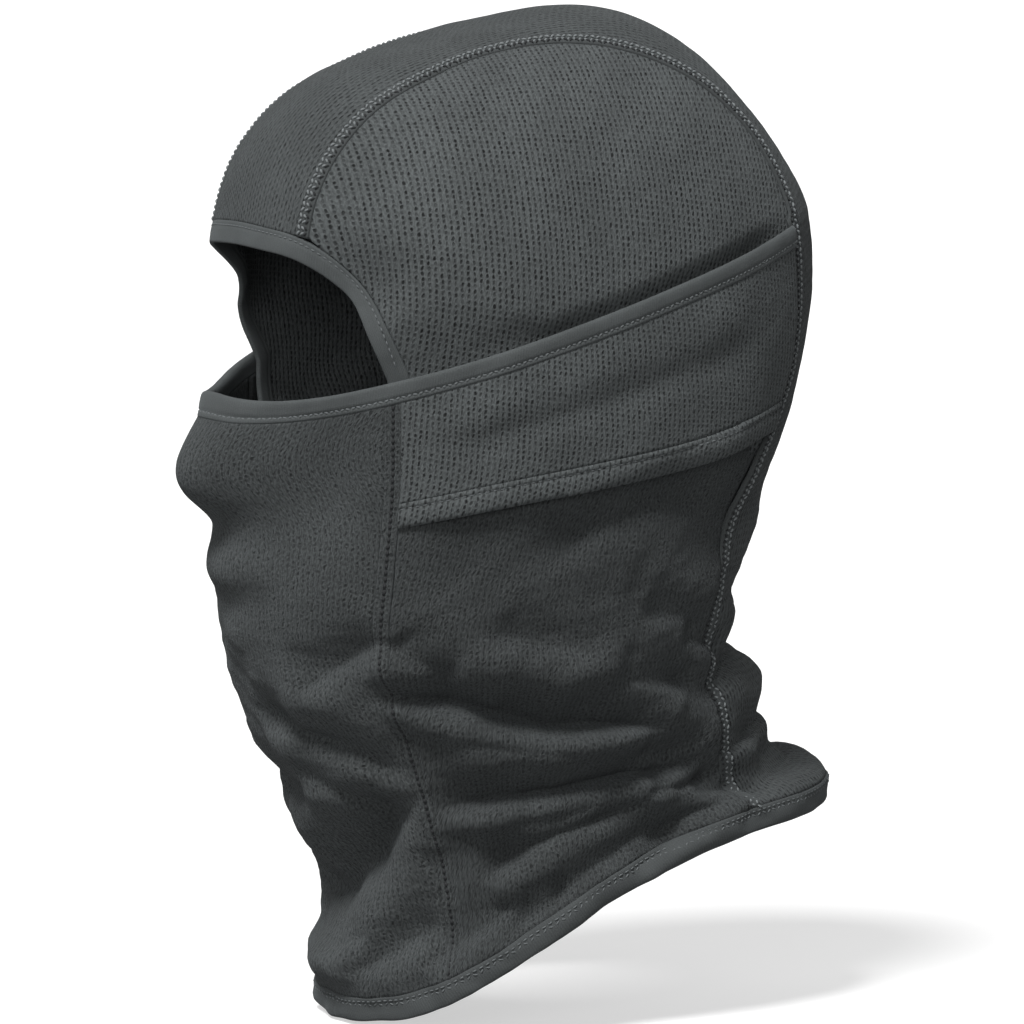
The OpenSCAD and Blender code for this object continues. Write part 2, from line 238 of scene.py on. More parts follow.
CROSS_FOLDS = [
    ([(-4, 103), (12, 108), (22, 113), (33, 120), (46, 133)], 5.0, 3.8, 3.0),
    ([(22, 97), (36, 89), (47, 82)], 3.2, 3.4, 1.0),
    ([(46, 138), (34, 143), (22, 156), (2, 168), (-20, 170)], 8.5, 6.0, 3.5),
    ([(-34, 178), (-8, 180), (6, 182), (24, 176)], 3.8, 3.4, 2.0),
    ([(10, 190), (28, 185), (44, 179)], 3.0, 3.4, 1.0),
    ([(-44, 118), (-30, 128), (-12, 134), (10, 133)], 3.4, 4.0, 2.0),
    ([(-46, 96), (-34, 101), (-16, 108)], 3.0, 3.8, 1.0),
    ([(8, 121), (22, 129), (36, 141)], 3.0, 3.6, 1.5),
    ([(114, 137), (132, 134), (150, 131), (172, 134), (196, 132), (222, 137), (246, 134)], 4.2, 3.2, 2.0),
    ([(120, 161), (134, 160), (154, 161), (176, 159), (200, 162), (228, 160)], 3.5, 2.6, 3.0),
    ([(127, 182), (142, 180), (160, 184), (184, 180), (206, 184), (230, 179)], 5.0, 3.0, 3.0),
    ([(120, 108), (134, 106), (150, 110), (174, 108), (200, 111), (228, 105)], 2.8, 5.0, 1.0),
]
DEG_MM = 1.33     # mm round the head to a degree
FLAT_MM = 1.56    # mm to a degree of the flat map, near the opening

# Soft swells and hollows: height in mm, then centre and width in u, and in t; the left and right are alike.
SWELLS = [
    (4.6, 0, 34, 187, 11),      # the front, above the hem
    (6.4, 0, 18, 53, 10),       # the mouth
    (-7.0, 0, 26, 87, 16),      # under the chin
    (-4.4, 0, 30, -52, 26),     # the brow
    (-6.5, 42, 11, -33, 17),    # beside the face opening
    (-3.0, 180, 34, -34, 30),   # the back of the head
    (5.5, 180, 50, 149, 7),     # the collar's roll behind, the hollow under it, and the swell above the hem
    (-7.5, 180, 50, 169, 8),
    (4.0, 180, 50, 189, 8),
    (-1.2, 30, 9, 30, 22),      # beside the nose
]
WAVES = np.random.default_rng(11).normal(size=(40, 3))
PHASES = np.random.default_rng(12).uniform(0, 2 * np.pi, 40)


def waves(p, wavelength, first, count):
    """Smooth noise at places p, about 1 high."""
    total = np.zeros(p.shape[:-1])
    for k in range(first, first + count):
        direction = WAVES[k] / np.linalg.norm(WAVES[k])
        total += np.sin(p @ direction * 2 * np.pi / (wavelength * (0.75 + 0.07 * (k % 8))) + PHASES[k])
    return total / math.sqrt(count)


def crease(u, t, fold):
    """How far one crease moves the cloth outwards and downwards."""
    points, depth, half, hang = fold
    line = np.array(points, float) * [DEG_MM, 1]
    lengths = np.hypot(*(line[1:] - line[:-1]).T)
    starts = np.concatenate([[0], np.cumsum(lengths)])
    x, best = u * DEG_MM, None
    for a, b, size, start in zip(line[:-1], line[1:], lengths, starts):
        d = (b - a) / size
        s = np.clip((x - a[0]) * d[0] + (t - a[1]) * d[1], 0, size)
        gap = np.hypot(x - a[0] - s * d[0], t - a[1] - s * d[1])
        side = np.sign((t - a[1]) * d[0] - (x - a[0]) * d[1]) * np.sign(d[0])
        if best is None:
            best, signed, place = gap, gap * side, start + s
        else:
            near = gap < best
            best = np.where(near, gap, best)
            signed = np.where(near, gap * side, signed)
            place = np.where(near, start + s, place)
    f = place / starts[-1]
    end = ease(0, 0.22, f) * (1 - ease(0.78, 1, f))
    half = half * (0.75 + 0.35 * end)
    upper = half * (2.9 if half.max() < 4 else 1.7)
    valley = bell(signed, np.where(signed < 0, upper, 0.8 * half))
    rise = depth * (0.30 * bell(signed + 2.1 * upper, 1.1 * upper) - valley
                    + 0.50 * bell(signed - 2.3 * half, 1.5 * half))
    drop = hang * 0.3 * bell(signed + 1.2 * half, 1.0 * half)
    return rise * end, drop * end


def crown_relief(u, t):
    """The crown is a little flatter on top and fuller before and behind."""
    arc = t + CROWN_ARC
    fore, wide = arc * np.cos(u * RAD), arc * np.sin(u * RAD)
    return (4.2 * bell(fore - 42, 30) + 2.8 * bell(fore + 74, 34)) * bell(wide, 60) - 5.4 * bell(arc, 48)


def yoke_relief(a, t):
    """One long shallow fold along the yoke, with a swell above it."""
    ends = ease(52, 66, a) * (1 - ease(112, 126, a))
    return (1.2 * bell(t - 14, 8) - bell(t - 24 - 0.05 * (a - 60), 5)) * ends


def relief(u, t):
    """How far the cloth stands off the body surface, and how far it sags, at (u, t)."""
    u = np.where(u > 180, u - 360, u)
    rise, sag = np.zeros(u.shape), np.zeros(u.shape)
    low = t > 50
    if low.any():
        ul, tl = u[low], t[low]
        r, s = np.zeros(ul.shape), np.zeros(ul.shape)
        for k, fold in enumerate(SIDE_FOLDS):
            a, b = crease(ul, tl, fold)
            # The right side's creases are like the left's, but not the same.
            c, d = crease(-ul * 0.96 + 1.5 * math.sin(3 * k), tl + 3 * math.cos(2 * k), fold)
            r, s = r + a + c, s + b + d
        for fold in CROSS_FOLDS:
            back = fold[0][0][0] > 100
            a, b = crease(np.where(ul < 0, ul + 360, ul) if back else ul, tl, fold)
            r, s = r + a, s + b
        rise[low], sag[low] = r, s
    a = np.abs(u)
    for height, u0, u_width, t0, t_width in SWELLS:
        rise += height * bell(a - u0, u_width) * bell(t - t0, t_width)
    rise -= 4.5 * bell(u - 34, 26) * bell(t - 160, 12)
    rise += 3.5 * bell(180 - a, 46) * ease(188, 204, t) + crown_relief(u, t) + yoke_relief(a, t)
    return rise, sag


def wrinkles(p, t):
    """Small unevenness everywhere, more where the cloth hangs loose below the mouth."""
    loose = ease(52, 100, t)
    fine = p * [1.0, 1.0, 1.9]
    return ((0.35 + 0.55 * loose) * waves(p, 52, 0, 8) + (0.10 + 0.55 * loose) * waves(fine, 26, 8, 8)
            + (0.05 + 0.13 * loose) * waves(fine, 11, 16, 10))


def unit(v):
    return v / np.maximum(np.linalg.norm(v, axis=-1, keepdims=True), 1e-9)


def grid_normals(p, ring):
    if ring:
        across = np.roll(p, -1, 1) - np.roll(p, 1, 1)
    else:
        across = np.gradient(p, axis=1)
    down = np.gradient(p, axis=0)
    n = unit(np.cross(down, across))
    middle = np.array([0, 10.0, -60.0])
    outward = np.sum(n * (p - middle), -1).mean()
    return n if outward > 0 else -n


def lie(ut, off):
    """The cloth's middle surface at places ut, off its body surface by off."""
    u, t = ut[..., 0], ut[..., 1]
    rise, sag = relief(u, t)
    plain = skin(u, t, off)
    a = from_face(u)
    keep = 1 - ease(-9, 0, t - hem_t(a))
    p = skin(u, t + sag * keep, off + rise + wrinkles(plain, t))
    round_off = (np.sqrt(t ** 2 + EAR_ROUND ** 2) - np.abs(t)) / 2
    p[..., 1] -= math.sin(TILT[0] * RAD) * round_off * ease(60, 120, a)
    return p


def new_object(name, verts, faces, uv, material):
    mesh = bpy.data.meshes.new(name)
    mesh.from_pydata((np.asarray(verts) * MM).tolist(), [], faces)
    layer = mesh.uv_layers.new(name="cloth")
    loops = np.zeros(len(mesh.loops), int)
    mesh.loops.foreach_get("vertex_index", loops)
    layer.data.foreach_set("uv", np.asarray(uv, np.float32)[loops].ravel())
    mesh.polygons.foreach_set("use_smooth", [True] * len(mesh.polygons))
    mesh.materials.append(material)
    mesh.update()
    obj = bpy.data.objects.new(name, mesh)
    bpy.context.scene.collection.objects.link(obj)
    return obj


def double_layer(m, n, ring, turned):
    """Faces of an outer and an inner sheet of m by n points, and of the rims that close them."""
    k = m * n
    cols = n if ring else n - 1
    j, i = np.meshgrid(np.arange(m - 1), np.arange(cols), indexing="ij")
    a, b = j * n + i, j * n + (i + 1) % n
    c, d = (j + 1) * n + (i + 1) % n, (j + 1) * n + i
    sheet = np.stack([a, b, c, d], -1).reshape(-1, 4)
    if turned:
        sheet = sheet[:, ::-1]
    faces = [sheet, sheet[:, ::-1] + k]
    i = np.arange(cols)
    rims = [np.stack([i, (i + 1) % n], -1), np.stack([(m - 1) * n + (i + 1) % n, (m - 1) * n + i], -1)]
    if not ring:
        i = np.arange(m - 1)
        rims += [np.stack([(i + 1) * n, i * n], -1), np.stack([i * n + n - 1, (i + 1) * n + n - 1], -1)]
    for rim in rims:
        faces.append(np.stack([rim[:, 0], rim[:, 1], rim[:, 1] + k, rim[:, 0] + k], -1))
    return np.concatenate(faces)


def cloth(name, ut, material, off=0.0, thick=KNIT, ring=False, upright=False):
    """A double layer of cloth through a grid of places, with its rims closed; uv is in mm of cloth.

    Returns the object and its cut: the flat width, length and area on the smooth body surface.
    """
    m, n = ut.shape[:2]
    off = np.broadcast_to(np.asarray(off, float), (m, n))
    thick = np.broadcast_to(np.asarray(thick, float), (m, n))[..., None]
    p = lie(ut, off)
    normal = grid_normals(p, ring)
    outer, inner = p + normal * thick / 2, p - normal * thick / 2
    base = skin(ut[..., 0], ut[..., 1], off)
    row = np.linalg.norm(np.diff(base, axis=1), axis=-1)
    col = np.linalg.norm(np.diff(base, axis=0), axis=-1)
    creased = np.linalg.norm(np.diff(p, axis=0), axis=-1)
    x = np.concatenate([np.zeros((m, 1)), np.cumsum(row, 1)], 1)
    x = x - x[:, n // 2:n // 2 + 1]
    y = np.concatenate([np.zeros((1, n)), np.cumsum(creased, 0)], 0)
    uv = np.stack([base[..., 1], ut[..., 1]] if upright else [x, y], -1).reshape(-1, 2)
    turned = np.sum(np.cross(outer[0, 1] - outer[0, 0], outer[1, 0] - outer[0, 0]) * normal[0, 0]) < 0
    faces = double_layer(m, n, ring, turned)
    verts = np.concatenate([outer.reshape(-1, 3), inner.reshape(-1, 3)])
    obj = new_object(name, verts, faces.tolist(), np.concatenate([uv, uv]), material)
    obj.data.validate()
    fix_normals(obj)
    quads = np.cross(base[1:, 1:] - base[:-1, :-1], base[1:, :-1] - base[:-1, 1:]) / 2
    cut = (row.sum(1).max(), col.sum(0).max(), np.linalg.norm(quads, axis=-1).sum())
    return obj, cut


def fix_normals(obj):
    b = bmesh.new()
    b.from_mesh(obj.data)
    bmesh.ops.recalc_face_normals(b, faces=b.faces)
    b.to_mesh(obj.data)
    b.free()


# Materials.
HOLE_TALL = 0.38    # half height of a knit hole, as a share of its pitch


class Nodes:
    """Short calls for building one material's nodes."""

    def __init__(self, name):
        self.material = bpy.data.materials.new(name)
        self.material.use_nodes = True
        self.tree = self.material.node_tree
        self.tree.nodes.clear()

    def add(self, kind, **inputs):
        node = self.tree.nodes.new(kind)
        for key, value in inputs.items():
            self.put(node.inputs[key.replace("_", " ")], value)
        return node

    def put(self, socket, value):
        if isinstance(value, bpy.types.NodeSocket):
            self.tree.links.new(value, socket)
        else:
            socket.default_value = value

    def math(self, op, a, b=None, c=None):
        node = self.tree.nodes.new("ShaderNodeMath")
        node.operation = op
        for socket, value in zip(node.inputs, (a, b, c)):
            if value is not None:
                self.put(socket, value)
        return node.outputs[0]

    def noise(self, vector, scale, detail=2.0):
        node = self.add("ShaderNodeTexNoise", Vector=vector, Scale=scale, Detail=detail)
        return node.outputs["Fac"]

    def ramp(self, value, low, high, a=0.0, b=1.0):
        node = self.tree.nodes.new("ShaderNodeMapRange")
        node.interpolation_type = "SMOOTHSTEP"
        for socket, v in zip(node.inputs[:5], (value, low, high, a, b)):
            self.put(socket, v)
        return node.outputs[0]

    def finish(self, colour, shade, height, bump, distance, rough, sheen):
        tint = self.tree.nodes.new("ShaderNodeVectorMath")
        tint.operation = "SCALE"
        tint.inputs[0].default_value = colour
        self.put(tint.inputs["Scale"], shade)
        knob = self.add("ShaderNodeBump", Strength=bump, Distance=distance, Height=height)
        surface = self.add("ShaderNodeBsdfPrincipled", Base_Color=tint.outputs[0], Roughness=rough,
                           Normal=knob.outputs[0])
        surface.inputs["Sheen Weight"].default_value = sheen
        surface.inputs["Sheen Roughness"].default_value = 0.45
        surface.inputs["Sheen Tint"].default_value = (0.8, 0.88, 0.92, 1)
        surface.inputs["Specular IOR Level"].default_value = 0.25
        out = self.add("ShaderNodeOutputMaterial")
        self.tree.links.new(surface.outputs[0], out.inputs[0])
        return self.material


def knit_holes(n, uv, pitch, slim, fuzz):
    """Staggered small holes, 0 to 1, and the ridges between their columns; slim is a hole's half width."""
    wobble = n.add("ShaderNodeTexNoise", Vector=uv, Scale=0.45, Detail=2.0).outputs["Color"]
    shift = n.tree.nodes.new("ShaderNodeVectorMath")
    shift.operation = "MULTIPLY_ADD"
    n.put(shift.inputs[0], wobble)
    shift.inputs[1].default_value = (1.0 + 2.2 * fuzz, 1.0 + 2.2 * fuzz, 0)
    n.put(shift.inputs[2], uv)
    split = n.add("ShaderNodeSeparateXYZ", Vector=shift.outputs[0])
    x = n.math("DIVIDE", split.outputs[0], pitch[0])
    y = n.math("DIVIDE", split.outputs[1], pitch[1])
    column = n.math("FLOOR", x)
    y = n.math("MULTIPLY_ADD", n.math("PINGPONG", column, 1.0), 0.5, y)
    across = n.math("DIVIDE", n.math("SUBTRACT", n.math("FRACT", x), 0.5), slim)
    along_it = n.math("DIVIDE", n.math("SUBTRACT", n.math("FRACT", y), 0.5), HOLE_TALL)
    from_middle = n.math("SQRT", n.math("ADD", n.math("MULTIPLY", across, across),
                                        n.math("MULTIPLY", along_it, along_it)))
    cell = n.add("ShaderNodeCombineXYZ", X=column, Y=n.math("FLOOR", y), Z=0.0).outputs[0]
    chance = n.add("ShaderNodeTexWhiteNoise", Vector=cell).outputs["Value"]
    # Broad patches where the holes' painted shade is fainter.
    patchy_hole_shade = n.ramp(n.noise(uv, 0.09, 3.0), 0.3, 0.7, 0.8, 1.0)
    holes = n.math("MULTIPLY", n.ramp(from_middle, 1.35, 0.45),
                   n.math("MULTIPLY", patchy_hole_shade, n.math("MULTIPLY_ADD", chance, 0.75, 0.35)))
    return holes, n.math("COSINE", n.math("MULTIPLY", x, 2 * math.pi))


def knit(name, colour, hole, fuzz, painted_light_gain, pitch=(1.9, 1.65), slim=0.22):
    """Mesh knit: small holes between ridges, with slanting fibres over them; pitch in mm."""
    n = Nodes(name)
    uv = n.add("ShaderNodeUVMap").outputs[0]
    holes, ridge = knit_holes(n, uv, pitch, slim, fuzz)
    turned = n.tree.nodes.new("ShaderNodeMapping")
    n.put(turned.inputs["Vector"], uv)
    turned.inputs["Rotation"].default_value = (0, 0, 0.55)
    turned.inputs["Scale"].default_value = (1.5, 0.6, 1)
    fibre = n.noise(turned.outputs[0], 1.3, 4.0)
    fine = n.noise(uv, 9.0, 2.0)
    broad = n.noise(uv, 0.045, 3.0)
    height = n.math("MULTIPLY_ADD", ridge, 0.08, n.math("MULTIPLY", holes, -hole * 1.6))
    height = n.math("MULTIPLY_ADD", fibre, 0.7 + fuzz, height)
    height = n.math("MULTIPLY_ADD", fine, 0.35 + 0.3 * fuzz, height)
    # The holes are painted dark: painted shade in the open knit.
    shade = n.math("MULTIPLY_ADD", holes, -hole, 1.0)
    # The ridges between the hole columns are painted a little lighter and the columns darker: painted light
    # and shade.
    shade = n.math("MULTIPLY", shade, n.math("MULTIPLY_ADD", ridge, 0.035 * (1 - fuzz), 1.0))
    shade = n.math("MULTIPLY", shade, n.ramp(fibre, 0.3, 0.7, 0.72 - 0.24 * fuzz, 1.28 + 0.24 * fuzz))
    shade = n.math("MULTIPLY", shade, n.ramp(broad, 0.3, 0.7, 0.9, 1.1))
    # The gain brightens or darkens this copy of the charcoal cloth: painted light and shade.
    shade = n.math("MULTIPLY", shade, painted_light_gain)
    return n.finish(colour, shade, height, bump=0.85, distance=0.0005, rough=0.88, sheen=0.06 + 0.04 * fuzz)


def smooth_cloth(name, colour, painted_light_gain):
    """Folded plain knit: fine close ribs."""
    n = Nodes(name)
    uv = n.add("ShaderNodeUVMap").outputs[0]
    split = n.add("ShaderNodeSeparateXYZ", Vector=uv)
    # The ribs also lighten and darken the colour a little further down: painted light and shade.
    ribs = n.math("COSINE", n.math("MULTIPLY", split.outputs[0], 2 * math.pi / 0.9))
    fibre = n.noise(uv, 3.0, 3.0)
    fine = n.noise(uv, 9.0, 2.0)
    broad = n.noise(uv, 0.08, 2.0)
    height = n.math("MULTIPLY_ADD", ribs, 0.18, fibre)
    height = n.math("MULTIPLY_ADD", fine, 0.5, height)
    shade = n.math("MULTIPLY", n.ramp(fibre, 0.25, 0.75, 0.8, 1.2), n.ramp(broad, 0.3, 0.7, 0.92, 1.08))
    # The gain brightens or darkens this copy of the charcoal cloth: painted light and shade.
    shade = n.math("MULTIPLY", shade, n.math("MULTIPLY_ADD", ribs, 0.05, painted_light_gain))
    return n.finish(colour, shade, height, bump=0.5, distance=0.0003, rough=0.85, sheen=0.08)


def thread_cloth(name, colour):
    n = Nodes(name)
    uv = n.add("ShaderNodeUVMap").outputs[0]
    twist = n.noise(uv, 6.0, 1.0)
    shade = n.ramp(twist, 0.3, 0.7, 0.75, 1.2)
    return n.finish(colour, shade, twist, bump=0.4, distance=0.0002, rough=0.7, sheen=0.08)


CHARCOAL = (0.060, 0.066, 0.067)
# Every piece is the one charcoal cloth; each gain is painted light and shade, lighter on the hood's sides and
# the yokes, darker on the crown, the seams, the front and most of all the neck.
hood_knit = knit("hood_knit", CHARCOAL, hole=0.9, fuzz=0.0, painted_light_gain=1.08, slim=0.21)
crown_knit = knit("crown_knit", CHARCOAL, hole=0.85, fuzz=0.1, painted_light_gain=0.88, pitch=(1.8, 2.4))
yoke_knit = knit("yoke_knit", CHARCOAL, hole=0.85, fuzz=0.1, painted_light_gain=1.06, slim=0.21)
front_knit = knit("front_knit", CHARCOAL, hole=0.62, fuzz=0.6, painted_light_gain=0.72)
neck_knit = knit("neck_knit", CHARCOAL, hole=0.62, fuzz=0.6, painted_light_gain=0.63)
seam_knit = smooth_cloth("seam_knit", CHARCOAL, 0.74)
trim_cloth = smooth_cloth("trim_cloth", CHARCOAL, 0.98)
thread = thread_cloth("thread", (0.105, 0.114, 0.117))
light_thread = thread_cloth("light_thread", (0.150, 0.162, 0.166))
dark_thread = thread_cloth("dark_thread", (0.014, 0.015, 0.016))

# How fine the grids are, in mm.
STEP = 1.15


def count(length):
    return max(3, int(round(length / STEP)))


def grid(rows):
    return np.array(rows, float)


def mirrored(ut):
    return ut * [-1, 1]


def under_mask(u, t):
    """How deep the hood's cloth lies where the mask covers it."""
    a = from_face(u)
    # The dip starts further up beside the face opening, so that the binding goes under gently.
    start = -8.5 - 14 * ease(80, 62, a)
    tuck = MASK_TUCK * ease(start, -1.5, t) * (1 - ease(122, 138, a))
    neck_tuck = 1.9 * ease(12, 27, t) * (1 - ease(118, 134, a))
    return -(tuck + neck_tuck) - SWING_TUCK * ease(86, 47, a) * ease(-1, 56, t)


def neck_depth(u, t):
    """How deep the neck's side starts, under the yoke."""
    a = from_face(u)
    return -(0.5 + 3.0 * ease(SIDE_U, 66, a)) * (1 - ease(64, 104, t)) * (1 - ease(124, 138, a))


def seam_edge(psi, side):
    return strip_ut(strip_half(psi) + side * SEAM_HALF, psi)


def opening_line(x):
    """The face opening's edge on the flat map: straight across, then turning forward."""
    return np.stack([x, -49.3 - 8.6 * np.maximum((x - 42) / 24, 0) ** 2.5], -1)


EDGE_START = flat(seam_edge(np.array(BROW), 1))
EDGE_END = flat(np.array(CORNER))


def opening_edge(f):
    """The opening's edge from the brow to the corner, f from 0 to 1, made to meet both ends."""
    f = np.asarray(f, float)[..., None]
    p = opening_line(mix(EDGE_START[0], EDGE_END[0], f[..., 0]))
    start, end = opening_line(EDGE_START[0]), opening_line(EDGE_END[0])
    return p + mix(EDGE_START - start, EDGE_END - end, f)


def side_fore(t):
    """Front edge of the hood side under the mask."""
    return mix(CORNER[0], SIDE_U, ease(CORNER[1], 24, t))


def hood_side_grid():
    """The hood side on the flat map, stretched between its four edges, then rows down under the mask."""
    a = np.linspace(0, 1, count(190))[None, :]
    b = np.linspace(0, 1, count(62))[:, None]
    top = flat(seam_edge(mix(BROW, REAR_PSI, a[0]), 1))[None]
    rear = flat(seam_edge(mix(REAR_PSI, 180 - NAPE_PSI, b[:, 0]), 1))[:, None]
    start_u = math.degrees(math.atan2(rear[-1, 0, 0], -rear[-1, 0, 1]))
    low = flat(np.stack([mix(CORNER[0], start_u, a[0]), np.full(a.shape[1], CORNER[1])], -1))[None]
    fore = opening_edge(b[:, 0])[:, None]
    # A patch between four edges: both ways of joining opposite edges, less what they have in common.
    a, b = a[..., None], b[..., None]
    p = (mix(top, low, b) + mix(fore, rear, a)
         - mix(mix(top[:, :1], top[:, -1:], a), mix(fore[-1:], rear[-1:], a), b))
    upper = unflat(p)
    rows = []
    for t in np.linspace(CORNER[1], TUCK_T, count(TUCK_T + 5))[1:]:
        u = np.linspace(side_fore(t), seam_fore(t), a.shape[1])
        rows.append(np.stack([u, np.full(u.shape, t)], -1))
    return np.concatenate([upper, grid(rows)])


def neck_grid(start, left, right, columns):
    """Rows from start down to the neck hem, between two edges in u."""
    rows = []
    for f in np.linspace(0, 1, count(190 - start - HEM_W)):
        t0 = mix(start, hem_t(90) - HEM_W, f)
        u = np.linspace(left(t0), right(t0), columns)
        rows.append(np.stack([u, mix(start, hem_t(from_face(u)) - HEM_W, f)], -1))
    return grid(rows)


def strip_rows(left, right, columns):
    """Rows across the strip over the crown, from the brow to the nape, between two edges in degrees."""
    rows = []
    for psi in np.linspace(BROW, 180 - NAPE_PSI, count(260)):
        rows.append(strip_ut(np.linspace(left(psi), right(psi), columns), psi))
    return grid(rows)


def rows_to_hem(top, left, right, columns):
    """The strip's rows, with rows on down the back to the neck hem between two edges in u."""
    rows = []
    for t in np.linspace(CORNER[1], NECK_TOP, count(35))[1:-1]:
        rows.append(np.stack([np.linspace(left(t), right(t), columns), np.full(columns, t)], -1))
    return np.concatenate([top, grid(rows), neck_grid(NECK_TOP, left, right, columns)])


def centre_grid():
    columns = count(112)
    top = strip_rows(lambda p: strip_half(p) - SEAM_HALF, lambda p: SEAM_HALF - strip_half(p), columns)
    top[..., 0] = np.where(top[..., 0] < 0, top[..., 0] + 360, top[..., 0])
    return rows_to_hem(top, seam_back, lambda t: 360 - seam_back(t), columns)


def crown_seam_grid(columns=7):
    top = strip_rows(lambda p: strip_half(p) + SEAM_HALF, lambda p: strip_half(p) - SEAM_HALF, columns)
    return rows_to_hem(top, seam_fore, seam_back, columns)


def binding_path():
    """The face opening's edge from under the left cheek, over the brow, to under the right cheek."""
    low = [(side_fore(t), t) for t in np.linspace(56, CORNER[1], count(60))[:-1]]
    left = unflat(opening_edge(np.linspace(1, 0, count(52)))).tolist()
    h = strip_half(BROW) - SEAM_HALF
    brow = strip_ut(np.linspace(h, -h, count(82)), BROW).tolist()[1:-1]
    half = np.array(low + left)
    path = flat(np.concatenate([half, brow, mirrored(half[::-1])]))
    # The corners over the mask are smoothed; the ends under it stay as they are.
    near = int(round(CORNER_ROUND / STEP))
    weight = bell(np.arange(-near, near + 1), near / 2)
    padded = np.concatenate([path[:1].repeat(near, 0), path, path[-1:].repeat(near, 0)])
    soft = np.stack([np.convolve(padded[:, c], weight / weight.sum(), "valid") for c in (0, 1)], -1)
    upper = np.minimum(ease(0, 30, np.arange(len(path)) * STEP - 50),
                       ease(0, 30, (len(path) - 1 - np.arange(len(path))) * STEP - 50))[:, None]
    return unflat(mix(path, soft, upper))


def binding_at(f):
    """A line along the binding, f of the way across it, from the hood's cloth to the opening."""
    path = binding_path()
    p, s = flat(path), np.sign(path[:, 0])
    width = BINDING_W / FLAT_MM
    step = np.stack([-s * width * ease(40, 62, np.abs(p[:, 0])), np.full(len(p), -width)], -1)
    down = ease(-42, -8, path[:, 1])[:, None]
    inner = mix(unflat(p + step), path - np.stack([s * BINDING_DEG, 0 * s], -1), down)
    return mix(path, inner, f)


def mask_columns():
    rear = seam_fore(0) - REAR_GAP
    return np.linspace(-rear, rear, int(2 * rear * DEG_MM / STEP))


def mask_hem_at(f):
    """A line along the mask's top hem, f of the way down it."""
    u = mask_columns()
    return np.stack([u, mask_top_t(u) + MASK_HEM_W * f], -1)


def yoke_at(f, h=0.0):
    """A line along the left yoke: f of the way down its cloth, then h of the way down its hem."""
    i = np.linspace(0, 1, count(118))
    u0 = mix(SIDE_U, seam_fore(0) - REAR_GAP, i)
    top, low = mask_top_t(u0) + MASK_HEM_W, yoke_bottom_t(u0)
    t = mix(mix(top, low - YOKE_HEM_W, f), low, h)
    return np.stack([mix(SIDE_U, seam_fore(t) - REAR_GAP, i), t], -1)


def front_grid(left, right, columns):
    """Rows down the front, from the mask's top hem to the neck hem."""
    rows = []
    for f in np.linspace(0, 1, count(200)):
        u = np.linspace(left, right, columns)
        rows.append(np.stack([u, mix(mask_top_t(u) + MASK_HEM_W, hem_t(u) - HEM_W, f)], -1))
    return grid(rows)


def lift(u):
    """The yoke lies higher towards the back, where the cloth under it isn't tucked in."""
    return 1.5 * ease(100, 125, np.abs(u))


# A thread's section (across it and up), and the shares of its length and of its width at each section.
THREAD_RING = [(1, 0), (0.6, 0.8), (-0.6, 0.8), (-1, 0), (-0.6, -0.5), (0.6, -0.5)]
THREAD_SECTIONS = [(-0.5, 0.25), (-0.3, 0.85), (0.0, 1.0), (0.3, 0.85), (0.5, 0.25)]


def thread_points(middle, heading, across, up, length, wide, high):
    """Points of one thread, thin at its ends, which dip into the cloth."""
    points = []
    for share, size in THREAD_SECTIONS:
        centre = middle + heading * share * length + up * high * (0.2 - 0.5 * abs(share))
        points += [centre + (across * a * wide / 2 + up * b * high) * size for a, b in THREAD_RING]
    return points


def thread_faces(first):
    n, last = len(THREAD_RING), len(THREAD_SECTIONS) - 1
    faces = [tuple(first + i for i in reversed(range(n))), tuple(first + last * n + i for i in range(n))]
    for j in range(last):
        for i in range(n):
            a, b = first + j * n + i, first + j * n + (i + 1) % n
            faces.append((a, b, b + n, a + n))
    return faces


def stitches(name, path, off, material, pitch=2.6, length=1.7, wide=0.55, high=0.35, slant=0.0):
    """A row of short raised threads along places on the cloth's outer face."""
    base = lie(path, off)
    normals = unit(lie(path, np.asarray(off) + 1.0) - base)
    s = np.concatenate([[0], np.cumsum(np.linalg.norm(np.diff(base, axis=0), axis=-1))])

    def at(place, values):
        return np.array([np.interp(place, s, values[:, c]) for c in range(3)])

    verts, faces = [], []
    for k, mid in enumerate(np.arange(pitch / 2, s[-1], pitch)):
        tangent = unit(at(mid + 0.5, base) - at(mid - 0.5, base))
        up = unit(at(mid, normals))
        turn = slant * (1 if k % 2 else -1)
        heading = tangent * math.cos(turn) + np.cross(up, tangent) * math.sin(turn)
        faces += thread_faces(len(verts))
        verts += thread_points(at(mid, base), heading, np.cross(up, heading), up, length, wide, high)
    one = [(share * length, a) for share, _ in THREAD_SECTIONS for a, _ in THREAD_RING]
    obj = new_object(name, verts, faces, one * (len(verts) // len(one)), material)
    fix_normals(obj)
    return obj


def join(name, objects):
    """Makes one object of several."""
    bpy.ops.object.select_all(action="DESELECT")
    for o in objects:
        o.select_set(True)
    bpy.context.view_layer.objects.active = objects[0]
    bpy.ops.object.join()
    objects[0].name = name
    return objects[0]


def on_hood(obj):
    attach(obj, "hood")


def on_neck(obj):
    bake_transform(obj)


def on_yoke(obj):
    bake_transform(obj)


def settle(obj, place, slot, *nodes):
    """Places a piece with its place function, in place of its CAD nodes; slot is not used."""
    place(obj)
    if nodes:
        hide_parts(*nodes)


# The pieces. A list named bump, raised or shares goes across a band: its relief in mm, and its grid lines.
SIDES = (("left", 1), ("right", -1))


def sided(ut, sign):
    return ut if sign > 0 else mirrored(ut)


def make_hood_sides():
    for side, sign in SIDES:
        ut = sided(hood_side_grid(), sign)
        obj, cut = cloth("hood_side_cloth_" + side, ut, hood_knit,
                            off=under_mask(ut[..., 0], ut[..., 1]), upright=True)
        settle(obj, on_hood, "knit", "hood_side_" + side)


def make_centre():
    ut = centre_grid()
    obj, cut = cloth("centre_cloth", ut, crown_knit)
    settle(obj, on_hood, "knit", "centre_panel")


